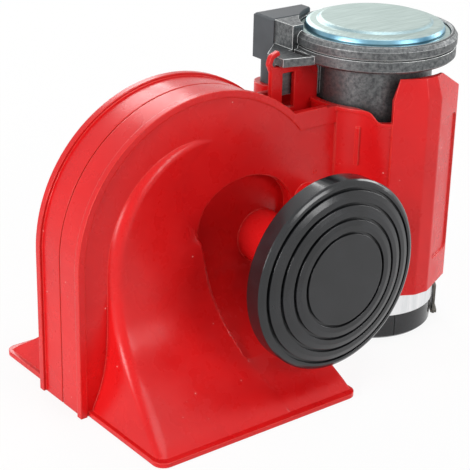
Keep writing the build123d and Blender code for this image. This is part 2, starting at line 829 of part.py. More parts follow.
# End cap with the lower bearing's seat, two screw bosses and a register inside the can
with BuildPart() as motor_end_cap:
    with BuildSketch(motor_profile):
        with BuildLine():
            Polyline(
                (0, 0),
                (end_r - 0.8, 0),
                (end_r, 0.8),
                (end_r, can_z0),
                (can_in - fit_gap, can_z0),
                (can_in - fit_gap, can_z0 + register_h),
                (end_r - end_wall, can_z0 + register_h),
                (end_r - end_wall, end_t),
                (seat_out, end_t),
                (seat_out, bearing_low_z + bearing_h),
                (seat_r, bearing_low_z + bearing_h),
                (seat_r, bearing_low_z),
                (shaft_r + seat_gap, bearing_low_z),
                (shaft_r + seat_gap, end_t),
                (0, end_t),
                close=True,
            )
        make_face()
    revolve(axis=motor_axis)
    with BuildSketch(motor_level(0)):
        with PolarLocations(cap_screw_at, 2, start_angle=90):
            Circle(cap_screw_head_r + 1)
    extrude(amount=can_z0 + register_h)
    with BuildSketch(motor_level(0)):
        with PolarLocations(cap_screw_at, 2, start_angle=90):
            Circle(cap_screw_r + fit_gap)
    extrude(amount=can_z0 + register_h, mode=Mode.SUBTRACT)
    with BuildSketch(motor_level(0)):
        with PolarLocations(cap_screw_at, 2, start_angle=90):
            Circle(cap_screw_head_r + fit_gap)
    extrude(amount=cap_screw_head_h + seat_gap, mode=Mode.SUBTRACT)
    # Moulding seam down the side
    with BuildSketch(motor_level(0.8)):
        with PolarLocations(end_r, 3, start_angle=-106):
            Rectangle(0.6, 0.5)
    extrude(amount=can_z0 - 0.8, mode=Mode.SUBTRACT)
motor_end_cap.part.label = "motor_end_cap"
export_step(motor_end_cap.part, "parts/motor_end_cap.step")

with BuildPart() as end_cap_screws:
    with BuildSketch(motor_level(seat_gap)):
        with PolarLocations(cap_screw_at, 2, start_angle=90):
            Circle(cap_screw_head_r)
    extrude(amount=cap_screw_head_h)
    with BuildSketch(motor_level(seat_gap + cap_screw_head_h)):
        with PolarLocations(cap_screw_at, 2, start_angle=90):
            Circle(cap_screw_r)
    extrude(amount=can_z0 + register_h + brush_plate_t - cap_screw_head_h)
    with BuildSketch(motor_level(seat_gap)):
        with PolarLocations(cap_screw_at, 2, start_angle=90):
            Rectangle(cap_screw_cross, cap_screw_slot)
            Rectangle(cap_screw_slot, cap_screw_cross)
    extrude(amount=cap_screw_deep, mode=Mode.SUBTRACT)
end_cap_screws.part.label = "end_cap_screws"
export_step(end_cap_screws.part, "parts/end_cap_screws.step")

with BuildPart() as field_magnets:
    with BuildSketch(motor_level(magnet_z0)) as magnet_ring:
        Circle(can_in - fit_gap)
        Circle(can_in - fit_gap - magnet_t, mode=Mode.SUBTRACT)
        for side in (0, 180):
            with BuildLine():
                Polyline(
                    (0, 0),
                    polar(2 * can_r, side - (180 - magnet_span) / 2),
                    polar(2 * can_r, side + (180 - magnet_span) / 2),
                    close=True,
                )
            make_face(mode=Mode.SUBTRACT)
    extrude(amount=magnet_h)
field_magnets.part.label = "field_magnets"
export_step(field_magnets.part, "parts/field_magnets.step")

for bearing_name, bearing_z in (("bearing_lower", bearing_low_z), ("bearing_upper", bearing_high_z)):
    with BuildPart() as bearing:
        with BuildSketch(motor_level(bearing_z)):
            Circle(bearing_r)
            Circle(shaft_r + run_gap, mode=Mode.SUBTRACT)
        extrude(amount=bearing_h)
    bearing.part.label = bearing_name
    export_step(bearing.part, "parts/" + bearing_name + ".step")

# Brush gear: a plate on the end cap's register with two guides, each with its brush and spring
brush_z = comm_z0 + (comm_h - brush_h) / 2
plate_z = can_z0 + register_h
guide_in = comm_r + 1.6
guide_out = can_in - 1.2

with BuildPart() as brush_plate:
    with BuildSketch(motor_level(plate_z)):
        Circle(can_in - fit_gap)
        Circle(comm_r + 1.2, mode=Mode.SUBTRACT)
        with PolarLocations(cap_screw_at, 2, start_angle=90):
            Circle(cap_screw_r + fit_gap, mode=Mode.SUBTRACT)
    extrude(amount=brush_plate_t)
    with BuildSketch(motor_level(plate_z + brush_plate_t)):
        for side in (-1, 1):
            with Locations((side * (guide_in + guide_out) / 2, 0)):
                Rectangle(guide_out - guide_in, brush_w + 2 * guide_wall)
    extrude(amount=brush_z + brush_h + guide_wall - plate_z - brush_plate_t)
    for side in (-1, 1):
        with BuildSketch(Plane.YZ.offset(motor_x)):
            with Locations((motor_y, brush_z + brush_h / 2)):
                Rectangle(brush_w + 2 * fit_gap, brush_h + 2 * fit_gap)
        extrude(amount=side * (guide_out - guide_wall), mode=Mode.SUBTRACT)
brush_plate.part.label = "brush_plate"
export_step(brush_plate.part, "parts/brush_plate.step")

brush_at = comm_r + seat_gap
with BuildPart() as brushes:
    for side in (-1, 1):
        with BuildSketch(motor_level(brush_z)):
            with Locations((side * (brush_at + brush_len / 2), 0)):
                Rectangle(brush_len, brush_w)
        extrude(amount=brush_h)
brushes.part.label = "brushes"
export_step(brushes.part, "parts/brushes.step")

with BuildPart() as brush_springs:
    for side in (-1, 1):
        with BuildSketch(Plane.YZ.offset(motor_x + side * (brush_at + brush_len))):
            with Locations((motor_y, brush_z + brush_h / 2)):
                Circle(spring_r)
                Circle(spring_r - 0.6, mode=Mode.SUBTRACT)
        extrude(amount=side * (guide_out - guide_wall - brush_at - brush_len))
brush_springs.part.label = "brush_springs"
export_step(brush_springs.part, "parts/brush_springs.step")

# Spade terminals that stand up beside the can from a foot on the end cap
with BuildPart() as spade_terminals:
    for angle in terminal_angles:
        blade_at = Plane(origin=(motor_x, motor_y, terminal_z0)).rotated((0, 0, angle))
        with BuildSketch(blade_at):
            with Locations((can_r + seat_gap + terminal_t / 2, 0)):
                Rectangle(terminal_t, terminal_w)
        extrude(amount=terminal_z1 - terminal_z0)
        with BuildSketch(blade_at):
            with Locations((end_r + (can_r + 2 * seat_gap + terminal_t + 0.8 - end_r) / 2, 0)):
                Rectangle(can_r + terminal_t + 0.8 - end_r, terminal_w - 1)
        extrude(amount=1.2)
spade_terminals.part.label = "spade_terminals"
export_step(spade_terminals.part, "parts/spade_terminals.step")

# ---- armature and pump rotor, which turn together ---------------------------------------------------
shaft_top = rotor_z0 + rotor_h - 0.3
with BuildPart() as shaft:
    with BuildSketch(motor_level(bearing_low_z + seat_gap)):
        Circle(shaft_r)
    extrude(amount=shaft_top - bearing_low_z - seat_gap)
shaft.part.label = "shaft"
export_step(shaft.part, "parts/shaft.step")

with BuildPart() as armature_core:
    with BuildSketch(motor_level(core_z0)):
        Circle(core_r)
        Circle(shaft_r + fit_gap, mode=Mode.SUBTRACT)
        with PolarLocations(core_r * slot_at, core_slots):
            SlotOverall(core_r * slot_share, slot_w, mode=Mode.SUBTRACT)
        with PolarLocations(core_r, core_slots):
            Rectangle(slot_mouth_d, slot_mouth_w, mode=Mode.SUBTRACT)
    extrude(amount=core_h)
armature_core.part.label = "armature_core"
export_step(armature_core.part, "parts/armature_core.step")

with BuildPart() as windings:
    for winding_z in (core_z0 - winding_h - winding_gap, core_z0 + core_h + winding_gap):
        with BuildSketch(motor_level(winding_z)):
            Circle(winding_r)
            Circle(shaft_r + 1.2, mode=Mode.SUBTRACT)
        extrude(amount=winding_h)
    with BuildSketch(motor_level(core_z0 - winding_gap)):
        with PolarLocations(core_r * slot_at, core_slots):
            SlotOverall(core_r * slot_share - 2 * winding_gap, slot_w - 2 * winding_gap)
    extrude(amount=core_h + 2 * winding_gap)
    chamfer(windings.edges().filter_by(GeomType.CIRCLE).group_by(Axis.Z)[0].sort_by(SortBy.LENGTH)[-1], 1.5)
    chamfer(windings.edges().filter_by(GeomType.CIRCLE).group_by(Axis.Z)[-1].sort_by(SortBy.LENGTH)[-1], 1.5)
windings.part.label = "windings"
export_step(windings.part, "parts/windings.step")

with BuildPart() as commutator:
    with BuildSketch(motor_level(comm_z0)):
        Circle(comm_r)
        Circle(shaft_r + fit_gap, mode=Mode.SUBTRACT)
        with PolarLocations(comm_r, 2 * core_slots):
            Rectangle(comm_slot_d, comm_slot_w, mode=Mode.SUBTRACT)
    extrude(amount=comm_h)
commutator.part.label = "commutator"
export_step(commutator.part, "parts/commutator.step")

vane_depth = rotor_r - shaft_r - rotor_wall
with BuildPart() as pump_rotor:
    with BuildSketch(motor_level(rotor_z0)):
        Circle(rotor_r)
        Circle(shaft_r + fit_gap, mode=Mode.SUBTRACT)
        with PolarLocations(rotor_r - vane_depth / 2 + 0.5, vane_n):
            Rectangle(vane_depth + 1, vane_t + 2 * fit_gap, mode=Mode.SUBTRACT)
    extrude(amount=rotor_h)
pump_rotor.part.label = "pump_rotor"
export_step(pump_rotor.part, "parts/pump_rotor.step")

with BuildPart() as pump_vanes:
    with BuildSketch(motor_level(rotor_z0 + fit_gap)):
        with PolarLocations(rotor_r - vane_depth / 2, vane_n):
            Rectangle(vane_depth - 2 * fit_gap, vane_t)
    extrude(amount=rotor_h - 2 * fit_gap)
pump_vanes.part.label = "pump_vanes"
export_step(pump_vanes.part, "parts/pump_vanes.step")

# ---- pump ------------------------------------------------------------------------------------------
chamber_r = rotor_r + rotor_off + rotor_gap
chamber_x = motor_x - rotor_off * 0.8
chamber_y = motor_y + rotor_off * 0.6
chamber_top = rotor_z0 + rotor_h + rotor_gap
plate_top = chamber_top + port_plate_t
pump_profile = Plane(origin=(pump_x, pump_y, 0), x_dir=(1, 0, 0), z_dir=(0, -1, 0))
pump_axis = Axis((pump_x, pump_y, 0), (0, 0, 1))
arm_x = pump_x - (arm_left + arm_right) / 2
web_left = tab_right + web_gap
web_right = pump_dx - arm_right - 1
port_from = Vector(chamber_x - 0.6 * chamber_r, chamber_y + 0.45 * chamber_r, outlet_z - 5)
port_to = Vector(outlet_x, elbow_front, outlet_z)

with BuildPart() as pump_head:
    # Body, flange and the rolled rim that holds the lid
    with BuildSketch(pump_profile):
        with BuildLine():
            Polyline(
                (0, can_z1),
                (body_r, can_z1),
                (body_r, flange_z0 - 1),
                (body_r + 1, flange_z0),
                (flange_r - 0.6, flange_z0),
                (flange_r, flange_z0 + 0.6),
                (flange_r, crimp_z0 - 0.5),
                (flange_r - 0.7, crimp_z0 - 0.3),
                (flange_r - 0.7, crimp_z0),
                (flange_r + crimp_out, crimp_z0 + crimp_out),
                (flange_r + crimp_out, crimp_z1 - 1.5),
                (flange_r - 0.6, crimp_z1 - 0.3),
                (crimp_in_r + 0.5, crimp_z1),
                (crimp_in_r, crimp_z1 - 0.4),
                (crimp_in_r, shelf_z),
                (filter_r + seat_gap, shelf_z),
                (filter_r + seat_gap, plate_top),
                (0, plate_top),
                close=True,
            )
        make_face()
    revolve(axis=pump_axis)
    # Foot on the can, cast arm, outlet block and lug
    with BuildSketch(motor_level(can_z1)):
        Circle(foot_r)
    extrude(amount=foot_h)
    with BuildSketch(Plane(origin=(arm_x, 0, arm_z0))):
        with Locations((0, (arm_front + elbow_front) / 2)):
            Rectangle(arm_left - arm_right, elbow_front - arm_front)
    extrude(amount=arm_z1 - arm_z0)
    with BuildSketch(Plane(origin=(horn_x, 0, holder_z1 + seat_gap))):
        with Locations(((web_right + web_left) / 2, web_front + web_t / 2)):
            Rectangle(web_right - web_left, web_t)
    extrude(amount=flange_z0 - holder_z1 - seat_gap)
    with BuildSketch(Plane(origin=(horn_x, 0, tab_top + seat_gap))):
        with BuildLine():
            Polyline(
                (lug_left, lug_front),
                (lug_left, arm_front + 1),
                (pump_dx - arm_left, elbow_front),
                (pump_dx - arm_right, elbow_front),
                (pump_dx - arm_right, pump_y),
                (pump_dx - flange_r, 0),
                close=True,
            )
        make_face()
        with Locations((pump_dx - flange_r - lug_slot_w / 2, (lug_slot_front + arm_front) / 2)):
            Rectangle(lug_slot_w, arm_front - lug_slot_front, mode=Mode.SUBTRACT)
    extrude(amount=lug_t)
    with BuildSketch(Plane(origin=(horn_x, 0, tab_top + seat_gap))):
        with Locations((lug_left + tongue_w / 2, seam_y + tab_t + seat_gap + tongue_t / 2)):
            Rectangle(tongue_w, tongue_t)
    extrude(amount=-tongue_h)
    # Lid's recess, filter space, port plate's recess, rotor chamber and shaft hole
    with BuildSketch(pump_level(shelf_z)):
        Circle(crimp_in_r)
    extrude(amount=crimp_z1 - shelf_z, mode=Mode.SUBTRACT)
    with BuildSketch(pump_level(crimp_z1)):
        Circle(crimp_in_r)
    extrude(amount=arm_z1 - crimp_z1, mode=Mode.SUBTRACT)
    with BuildSketch(pump_level(plate_top)):
        Circle(filter_r + seat_gap)
    extrude(amount=crimp_z1 - plate_top, mode=Mode.SUBTRACT)
    with BuildSketch(pump_level(chamber_top)):
        Circle(port_plate_r + fit_gap)
    extrude(amount=port_plate_t, mode=Mode.SUBTRACT)
    with BuildSketch(Plane(origin=(chamber_x, chamber_y, rotor_z0 - rotor_gap))):
        Circle(chamber_r)
    extrude(amount=chamber_top - rotor_z0 + rotor_gap, mode=Mode.SUBTRACT)
    with BuildSketch(motor_level(can_z1)):
        Circle(shaft_r + seat_gap)
    extrude(amount=rotor_z0 - can_z1, mode=Mode.SUBTRACT)
    # Outlet bore from the chamber to the elbow
    with BuildSketch(Plane(origin=port_from, z_dir=port_to - port_from)):
        Circle(outlet_bore)
    extrude(amount=(port_to - port_from).length + 2, mode=Mode.SUBTRACT)
pump_head.part.label = "pump_head"
export_step(pump_head.part, "parts/pump_head.step")

with BuildPart() as port_plate:
    with BuildSketch(pump_level(chamber_top)):
        Circle(port_plate_r)
        with PolarLocations(10, 2, start_angle=35):
            SlotOverall(9, 3, rotation=90, mode=Mode.SUBTRACT)
    extrude(amount=port_plate_t)
port_plate.part.label = "port_plate"
export_step(port_plate.part, "parts/port_plate.step")

with BuildPart() as intake_filter:
    with BuildSketch(pump_level(plate_top)):
        Circle(filter_r)
    extrude(amount=filter_h)
intake_filter.part.label = "intake_filter"
export_step(intake_filter.part, "parts/intake_filter.step")

with BuildPart() as lid_gasket:
    with BuildSketch(pump_level(shelf_z)):
        Circle(lid_r)
        Circle(lid_r - gasket_w, mode=Mode.SUBTRACT)
    extrude(amount=gasket_t)
lid_gasket.part.label = "lid_gasket"
export_step(lid_gasket.part, "parts/lid_gasket.step")

# Pressed steel lid: flat brim, straight side, rounded shoulder and a raised flat top
lid_z0 = shelf_z + gasket_t
with BuildPart() as pump_lid:
    with BuildSketch(pump_profile):
        with BuildLine():
            Polyline(
                (0, lid_z1 - lid_t),
                (0, lid_z1),
                (lid_top_r - 0.5, lid_z1),
                (lid_top_r, lid_z1 - 0.25),
                (lid_top_r + 0.8, lid_shoulder_z + 0.2),
                (lid_dome_r - lid_round, lid_shoulder_z),
                (lid_dome_r - 0.3 * lid_round, lid_shoulder_z - 0.3 * lid_round),
                (lid_dome_r, lid_shoulder_z - lid_round),
                (lid_dome_r, lid_z0 + lid_t),
                (lid_r, lid_z0 + lid_t),
                (lid_r, lid_z0),
                (lid_dome_r - lid_t, lid_z0),
                (lid_dome_r - lid_t, lid_shoulder_z - lid_t - 0.6),
                (lid_dome_r - lid_t - 0.6, lid_shoulder_z - lid_t),
                (lid_top_r, lid_shoulder_z - lid_t),
                (lid_top_r - 0.8, lid_z1 - lid_t),
                (0, lid_z1 - lid_t),
            )
        make_face()
    revolve(axis=pump_axis)
pump_lid.part.label = "pump_lid"
export_step(pump_lid.part, "parts/pump_lid.step")

# ---- air outlet --------------------------------------------------------------------------------------
elbow_mid_x = pump_x - elbow_left + elbow_w / 2
with BuildPart() as outlet_elbow:
    with BuildSketch(Plane(origin=(elbow_mid_x, elbow_front + elbow_d / 2, elbow_z0))):
        Rectangle(elbow_w, elbow_d)
    extrude(amount=elbow_z1 - elbow_z0)
    chamfer(outlet_elbow.edges().group_by(Axis.Z)[-1], 0.6)
    with BuildSketch(Plane(origin=(outlet_x, duct_y, spigot_z0))):
        Circle(spigot_r)
    extrude(amount=elbow_z0 - spigot_z0)
    with BuildSketch(pump_level(elbow_z0)):
        Circle(flange_r + crimp_out + seat_gap)
    extrude(amount=crimp_z1 + seat_gap - elbow_z0, mode=Mode.SUBTRACT)
    with BuildSketch(pump_level(crimp_z1)):
        Circle(crimp_in_r)
    extrude(amount=elbow_z1 - crimp_z1, mode=Mode.SUBTRACT)
    with BuildSketch(Plane(origin=(outlet_x, duct_y, spigot_z0))):
        Circle(outlet_bore)
    extrude(amount=outlet_z - spigot_z0 + outlet_bore, mode=Mode.SUBTRACT)
    with BuildSketch(Plane(origin=(outlet_x, elbow_front, outlet_z), z_dir=(0, 1, 0))):
        Circle(outlet_bore)
    extrude(amount=duct_y - elbow_front, mode=Mode.SUBTRACT)
    with BuildSketch(Plane(origin=(outlet_x, elbow_front, outlet_z), z_dir=(0, 1, 0))):
        Circle(outlet_seal_r + fit_gap)
    extrude(amount=outlet_seal_w, mode=Mode.SUBTRACT)
outlet_elbow.part.label = "outlet_elbow"
export_step(outlet_elbow.part, "parts/outlet_elbow.step")

with BuildPart() as outlet_seal:
    with BuildSketch(Plane(origin=(outlet_x, elbow_front, outlet_z), z_dir=(0, 1, 0))):
        Circle(outlet_seal_r)
        Circle(outlet_seal_r - outlet_seal_w, mode=Mode.SUBTRACT)
    extrude(amount=outlet_seal_w)
outlet_seal.part.label = "outlet_seal"
export_step(outlet_seal.part, "parts/outlet_seal.step")

# ---- M8 fixing ---------------------------------------------------------------------------------------
boss_y = coil_back + boss_len
stud_y = coil_back - shell_t
nut_y = boss_y + washer_t
neck_y = nut_y + nut_t
with BuildPart() as mount_stud:
    with BuildSketch(Plane(origin=(bolt_x, stud_y, bolt_z), z_dir=(0, 1, 0))):
        Circle(bolt_r)
    extrude(amount=neck_y + neck_w + stud_free + stud_point - stud_y)
    chamfer(mount_stud.edges().group_by(Axis.Y)[-1], stud_point)
    with BuildSketch(Plane(origin=(bolt_x, neck_y, bolt_z), z_dir=(0, 1, 0))):
        Circle(bolt_r)
        Circle(bolt_r - neck_d, mode=Mode.SUBTRACT)
    extrude(amount=neck_w, mode=Mode.SUBTRACT)
mount_stud.part.label = "mount_stud"
export_step(mount_stud.part, "parts/mount_stud.step")

with BuildPart() as mount_washer:
    with BuildSketch(Plane(origin=(bolt_x, boss_y, bolt_z), z_dir=(0, 1, 0))):
        Circle(washer_r)
        Circle(bolt_r + 0.2, mode=Mode.SUBTRACT)
    extrude(amount=washer_t)
mount_washer.part.label = "mount_washer"
export_step(mount_washer.part, "parts/mount_washer.step")

with BuildPart() as mount_nut:
    with BuildSketch(Plane(origin=(bolt_x, nut_y, bolt_z), z_dir=(0, 1, 0))):
        RegularPolygon(nut_flats / 2, 6, major_radius=False)
        Circle(bolt_r + fit_gap, mode=Mode.SUBTRACT)
    extrude(amount=nut_t)
mount_nut.part.label = "mount_nut"
export_step(mount_nut.part, "parts/mount_nut.step")
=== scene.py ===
# Compact air horn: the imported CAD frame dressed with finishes, fine detail, a floor and studio light.
import json
from math import cos, exp, hypot, pi, radians, sin

import bpy
from mathutils import Matrix, Vector


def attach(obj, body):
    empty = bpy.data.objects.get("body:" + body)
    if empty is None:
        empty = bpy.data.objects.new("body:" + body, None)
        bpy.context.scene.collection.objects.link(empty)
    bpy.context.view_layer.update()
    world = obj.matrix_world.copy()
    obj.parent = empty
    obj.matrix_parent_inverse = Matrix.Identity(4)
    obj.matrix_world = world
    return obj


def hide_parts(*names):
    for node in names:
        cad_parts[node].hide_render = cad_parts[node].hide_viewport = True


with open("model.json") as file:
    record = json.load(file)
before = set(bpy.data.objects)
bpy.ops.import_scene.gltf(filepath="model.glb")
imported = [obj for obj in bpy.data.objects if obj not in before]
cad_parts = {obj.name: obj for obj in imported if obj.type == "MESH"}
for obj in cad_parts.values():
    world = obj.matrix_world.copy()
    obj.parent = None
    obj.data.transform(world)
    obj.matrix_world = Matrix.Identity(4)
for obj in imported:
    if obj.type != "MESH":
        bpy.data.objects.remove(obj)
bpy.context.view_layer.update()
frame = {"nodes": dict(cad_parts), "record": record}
bpy.ops.object.select_all(action="DESELECT")  # the CAD nodes come in selected
nodes = frame["nodes"]
mm = 0.001


def tint(hexValue):
    # sRGB hex to the linear colour that the shaders use
    parts = [int(hexValue[i:i + 2], 16) / 255 for i in (1, 3, 5)]
    return tuple(c / 12.92 if c <= 0.04045 else ((c + 0.055) / 1.055) ** 2.4 for c in parts) + (1.0,)


def perMetre(sizeMm):
    # a pattern's scale on coordinates in metres, from its real size
    return 1000 / sizeMm


def addNode(tree, kind, values=None, links=None, stops=None, **settings):
    # a node with its socket values, its links, its settings and, on a ramp, its two (place, hex) stops
    node = tree.nodes.new(kind)
    for name, value in settings.items():
        setattr(node, name, value)
    for socket, value in (values or {}).items():
        node.inputs[socket].default_value = value
    for socket, source in (links or {}).items():
        tree.links.new(source, node.inputs[socket])
    if stops:
        for element, (place, colour) in zip(node.color_ramp.elements, stops):
            element.position, element.color = place, tint(colour)
    return node


def startMaterial(name, colour, shaderValues):
    # a material, its node tree and its shader
    material = bpy.data.materials.new(name)
    material.use_nodes = True
    tree = material.node_tree
    shader = tree.nodes["Principled BSDF"]
    shader.inputs["Base Color"].default_value = tint(colour)
    for socket, value in shaderValues.items():
        shader.inputs[socket].default_value = value
    return material, tree, shader


# camera, from the front left and above, tipped by a degree
cameraPlan = {
    "location": Vector((-0.26505, -0.32515, 0.21808)),
    "azimuth": radians(-38.1),
    "elevation": radians(23.23),
    "roll": radians(1.38),
    "lens": 114.02,
    "sensor": 36,
    "clip": (0.01, 20),
}


def makeCamera(plan):
    a, e, r = plan["azimuth"], plan["elevation"], plan["roll"]
    right = Vector((cos(a), sin(a), 0))
    up = Vector((-sin(a) * sin(e), cos(a) * sin(e), cos(e)))
    back = right.cross(up)
    rolledRight = right * cos(r) + up * sin(r)
    rolledUp = up * cos(r) - right * sin(r)
    data = bpy.data.cameras.new("camera")
    data.lens, data.sensor_width = plan["lens"], plan["sensor"]
    data.clip_start, data.clip_end = plan["clip"]
    camera = bpy.data.objects.new("camera", data)
    bpy.context.collection.objects.link(camera)
    turn = Matrix((rolledRight, rolledUp, back)).transposed()
    camera.matrix_world = Matrix.Translation(plan["location"]) @ turn.to_4x4()
    bpy.context.scene.camera = camera


makeCamera(cameraPlan)
bpy.context.scene.view_settings.view_transform = "Standard"
print("camera placed")

# floor, sky and lamps
studio = {
    "floorSize": 6.0,
    "floorDrop": 0.2 * mm,  # keeps it from flickering against what stands on it
    "floorColour": "#f4f4f3",
    "floorRough": 0.9,
    "floorGlow": 0.9,  # the rest of the floor keeps the shadow
    "skyStrength": 0.22,
    "aim": Vector((0, 0, 0.05)),  # the middle of the horn
    "lamps": [
        {"name": "left", "place": (-1.15, -0.1, 0.4), "size": (0.5, 0.5), "power": 10.5},
        {"name": "front", "place": (0.3, -1.1, 0.5), "size": (0.5, 0.4), "power": 4.5},
        {"name": "right", "place": (1.1, -0.2, 0.42), "size": (0.3, 0.6), "power": 4.0},
        {"name": "top", "place": (0.1, -0.2, 1.2), "size": (0.7, 0.7), "power": 4.6},
        {"name": "back", "place": (0.3, 1.0, 0.6), "size": (0.5, 0.5), "power": 4.6},
    ],
}


def shownRays(tree):
    # 1 for what the camera, a mirror or glass shows, 0 for what lights the object
    path = addNode(tree, "ShaderNodeLightPath")
    total = path.outputs["Is Camera Ray"]
    for ray in ("Is Glossy Ray", "Is Transmission Ray"):
        total = addNode(tree, "ShaderNodeMath", links={0: total, 1: path.outputs[ray]},
                        operation="ADD", use_clamp=True).outputs[0]
    return total


def makeFloor(plan):
    bpy.ops.mesh.primitive_plane_add(size=plan["floorSize"], location=(0, 0, -plan["floorDrop"]))
    floor = bpy.context.object
    floor.name = "floor"
    material, tree, shader = startMaterial("pale paper floor", plan["floorColour"],
                                           {"Roughness": plan["floorRough"]})
    share = addNode(tree, "ShaderNodeMapRange", {"To Max": plan["floorGlow"]}, {"Value": shownRays(tree)})
    glow = addNode(tree, "ShaderNodeEmission", {"Color": (1, 1, 1, 1), "Strength": 1.0})
    mix = addNode(tree, "ShaderNodeMixShader",
                  links={0: share.outputs["Result"], 1: shader.outputs[0], 2: glow.outputs[0]})
    tree.links.new(mix.outputs[0], tree.nodes["Material Output"].inputs["Surface"])
    floor.data.materials.append(material)


def makeLight(plan):
    world = bpy.data.worlds.new("studio sky")
    bpy.context.scene.world = world
    world.use_nodes = True
    tree = world.node_tree
    background = tree.nodes["Background"]
    background.inputs["Color"].default_value = (1, 1, 1, 1)
    strength = addNode(tree, "ShaderNodeMapRange", {"To Min": plan["skyStrength"]},
                       {"Value": shownRays(tree)})
    tree.links.new(strength.outputs["Result"], background.inputs["Strength"])
    for entry in plan["lamps"]:
        data = bpy.data.lights.new(entry["name"], "AREA")
        data.shape = "RECTANGLE"
        data.size, data.size_y = entry["size"]
        data.energy = entry["power"]
        lamp = bpy.data.objects.new(entry["name"], data)
        bpy.context.collection.objects.link(lamp)
        lamp.location = entry["place"]
        lamp.rotation_euler = (plan["aim"] - lamp.location).to_track_quat("-Z", "Y").to_euler()


makeFloor(studio)
makeLight(studio)
bpy.ops.object.select_all(action="DESELECT")
print("studio lit")

# finishes: tones and rough give what one end of a pattern shows and then the other, toneOver and roughOver
# the stretch of the pattern between them, and what ends in Mm is a size in millimetres


def edgeShare(tree, soft, reach):
    # 0 on a flat, rising at an edge, where the rounded normal leans off the true one
    starts, ends, most = reach
    flat = addNode(tree, "ShaderNodeNewGeometry").outputs["Normal"]
    lean = addNode(tree, "ShaderNodeVectorMath", links={0: soft, 1: flat}, operation="DOT_PRODUCT")
    share = addNode(tree, "ShaderNodeMapRange", {"From Min": starts, "From Max": ends, "To Max": most},
                    {"Value": lean.outputs["Value"]})
    return share.outputs["Result"]


def dress(tree, shader, plan, colour, gloss, relief, soft):
    # the shader's colour, its roughness by one pattern and its relief by another, over rounded edges
    low, high = plan["roughOver"]
    first, last = plan["rough"]
    rough = addNode(tree, "ShaderNodeMapRange",
                    {"From Min": low, "From Max": high, "To Min": first, "To Max": last}, {"Value": gloss})
    skin = addNode(tree, "ShaderNodeBump",
                   {"Strength": plan["reliefStrength"], "Distance": plan["reliefMm"] * mm},
                   {"Height": relief, "Normal": soft})
    tree.links.new(colour, shader.inputs["Base Color"])
    tree.links.new(rough.outputs["Result"], shader.inputs["Roughness"])
    tree.links.new(skin.outputs["Normal"], shader.inputs["Normal"])


# both shells: ABS from a polished mould, a saturated red with a soft gloss and a faint orange peel; a
# painted highlight makes the red brighter along rounded edges, and a few specks of dust lie on it
shellRed = {
    "name": "moulded red ABS",
    "specular": 0.3,  # keeps the gloss from paling the red
    "tones": ("#cc1417", "#d8191a"),
    "toneOver": (0.32, 0.68),
    "flowMm": 24,
    "dust": "#f0a8a2",
    "dustCellMm": 4.0,  # holds one speck at most
    "dustSize": (0.035, 0.06),  # of a cell: solid out to, gone by
    "dustDraw": 0.72,  # cells that draw less have none
    # painted highlight: a brighter red laid along the rounded edges, where they would catch the light
    "paintedEdgeHighlight": "#f0443a",
    "paintedHighlightReach": (0.985, 0.85, 0.7),  # cosine where it starts, cosine where it is full, its share there
    "glossMm": 7.0,
    "roughOver": (0.3, 0.7),
    "rough": (0.22, 0.36),
    "edgeMm": 0.55,
    "peelMm": 1.6,
    "reliefMm": 0.015,
    "reliefStrength": 0.35,
}


def mouldedRed(plan):
    material, tree, shader = startMaterial(plan["name"], plan["tones"][1],
                                           {"Specular IOR Level": plan["specular"]})
    point = addNode(tree, "ShaderNodeTexCoord").outputs["Object"]
    flow = addNode(tree, "ShaderNodeTexNoise", {"Scale": perMetre(plan["flowMm"]), "Detail": 3.0},
                   {"Vector": point})
    tone = addNode(tree, "ShaderNodeValToRGB", links={"Fac": flow.outputs["Fac"]},
                   stops=zip(plan["toneOver"], plan["tones"]))
    cells = addNode(tree, "ShaderNodeTexVoronoi", {"Scale": perMetre(plan["dustCellMm"])}, {"Vector": point})
    solid, gone = plan["dustSize"]
    speck = addNode(tree, "ShaderNodeMapRange",
                    {"From Min": solid, "From Max": gone, "To Min": 1.0, "To Max": 0.0},
                    {"Value": cells.outputs["Distance"]})
    drawn = addNode(tree, "ShaderNodeSeparateColor", links={"Color": cells.outputs["Color"]})
    chosen = addNode(tree, "ShaderNodeMath", {1: plan["dustDraw"]}, {0: drawn.outputs["Red"]},
                     operation="GREATER_THAN")
    dust = addNode(tree, "ShaderNodeMath", links={0: speck.outputs["Result"], 1: chosen.outputs[0]},
                   operation="MULTIPLY")
    dusty = addNode(tree, "ShaderNodeMixRGB", {"Color2": tint(plan["dust"])},
                    {"Fac": dust.outputs[0], "Color1": tone.outputs["Color"]})
    soft = addNode(tree, "ShaderNodeBevel", {"Radius": plan["edgeMm"] * mm}, samples=8).outputs["Normal"]
    # painted highlight: the edges are drawn in the brighter red
    lit = addNode(tree, "ShaderNodeMixRGB", {"Color2": tint(plan["paintedEdgeHighlight"])},
                  {"Fac": edgeShare(tree, soft, plan["paintedHighlightReach"]), "Color1": dusty.outputs["Color"]})
    gloss = addNode(tree, "ShaderNodeTexNoise", {"Scale": perMetre(plan["glossMm"]), "Detail": 5.0},
                    {"Vector": point})
    peel = addNode(tree, "ShaderNodeTexNoise", {"Scale": perMetre(plan["peelMm"]), "Detail": 1.0},
                   {"Vector": point})
    dress(tree, shader, plan, lit.outputs["Color"], gloss.outputs["Fac"], peel.outputs["Fac"], soft)
    return material


